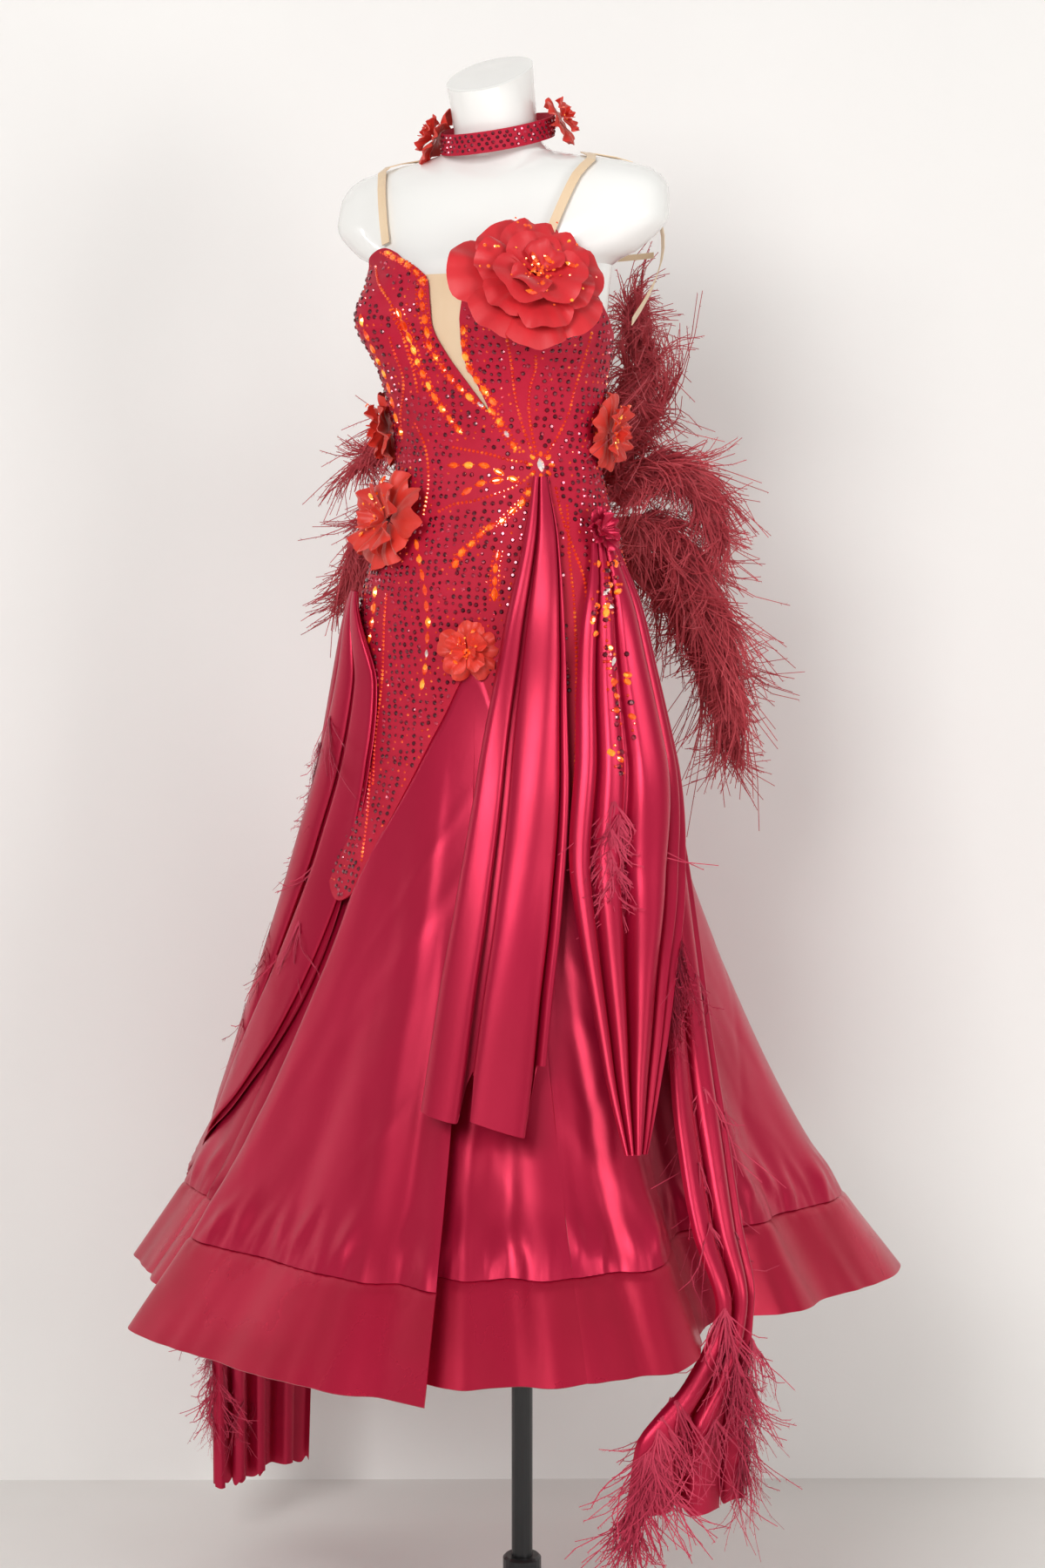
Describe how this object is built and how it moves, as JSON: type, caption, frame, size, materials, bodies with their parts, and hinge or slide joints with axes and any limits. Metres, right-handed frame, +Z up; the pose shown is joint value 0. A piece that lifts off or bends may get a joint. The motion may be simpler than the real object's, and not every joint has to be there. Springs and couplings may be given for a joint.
{
  "type": "ballroom dance dress on dress form",
  "caption": "Strapped ballroom dance dress with beaded sheath, flared satin skirt, drapes, feathers and fabric flowers, with matching choker, on a limbless form.",
  "frame": {"origin": "on the floor under the pole, in the middle of the base's underside", "axes": "+Z up; the dress faces -Y; the wearer's left is +X"},
  "size_m": [0.9561, 0.975, 1.9303],
  "materials": {
    "form_white": "glossy white lacquer",
    "stand_black": "black satin paint",
    "beaded_cloth": "raspberry stretch cloth set with dark cherry stones",
    "nude_mesh": "nude stretch mesh and elastic",
    "satin": "raspberry satin",
    "hem_satin": "satin over stiff braid",
    "drape_satin": "raspberry satin",
    "flower_satin": "scarlet satin petals",
    "crystal": "cut amber stone",
    "feather": "dusty burgundy ostrich feather"
  },
  "bodies": {
    "root": {"form": "form_white", "pole": "stand_black", "hub": "stand_black", "base": "stand_black", "front_right_panel": "beaded_cloth", "front_left_panel": "beaded_cloth", "back_left_panel": "beaded_cloth", "back_right_panel": "beaded_cloth", "choker_band": "beaded_cloth", "plunge_insert": "nude_mesh", "strap_right": "nude_mesh", "strap_left": "nude_mesh", "strap_cross_back": "nude_mesh", "front_right_gore": "satin", "front_right_hem_band": "hem_satin", "front_left_gore": "satin", "front_left_hem_band": "hem_satin", "side_left_gore": "satin", "side_left_hem_band": "hem_satin", "back_left_gore": "satin", "back_left_hem_band": "hem_satin", "centre_back_left_gore": "satin", "centre_back_left_hem_band": "hem_satin", "centre_back_right_gore": "satin", "centre_back_right_hem_band": "hem_satin", "side_right_gore": "satin", "side_right_hem_band": "hem_satin", "centre_drape": "drape_satin", "left_hip_drape": "drape_satin", "left_float": "drape_satin", "right_float": "drape_satin", "bust_flower": "flower_satin", "hip_flower": "flower_satin", "right_side_flower": "flower_satin", "left_waist_flower": "flower_satin", "front_flower": "flower_satin", "choker_flower_right": "flower_satin", "choker_flower_left": "flower_satin", "brooch": "crystal", "plume_left_1": "feather", "plume_left_2": "feather", "plume_left_3": "feather", "plume_left_4": "feather", "plume_right_1": "feather", "plume_right_2": "feather", "tuft_float_right_1": "feather", "tuft_float_right_2": "feather", "tuft_float_left_1": "feather", "tuft_float_left_2": "feather", "tuft_hip_1": "feather", "tuft_hip_2": "feather", "tuft_side_right": "feather"}
  },
  "joints": []
}
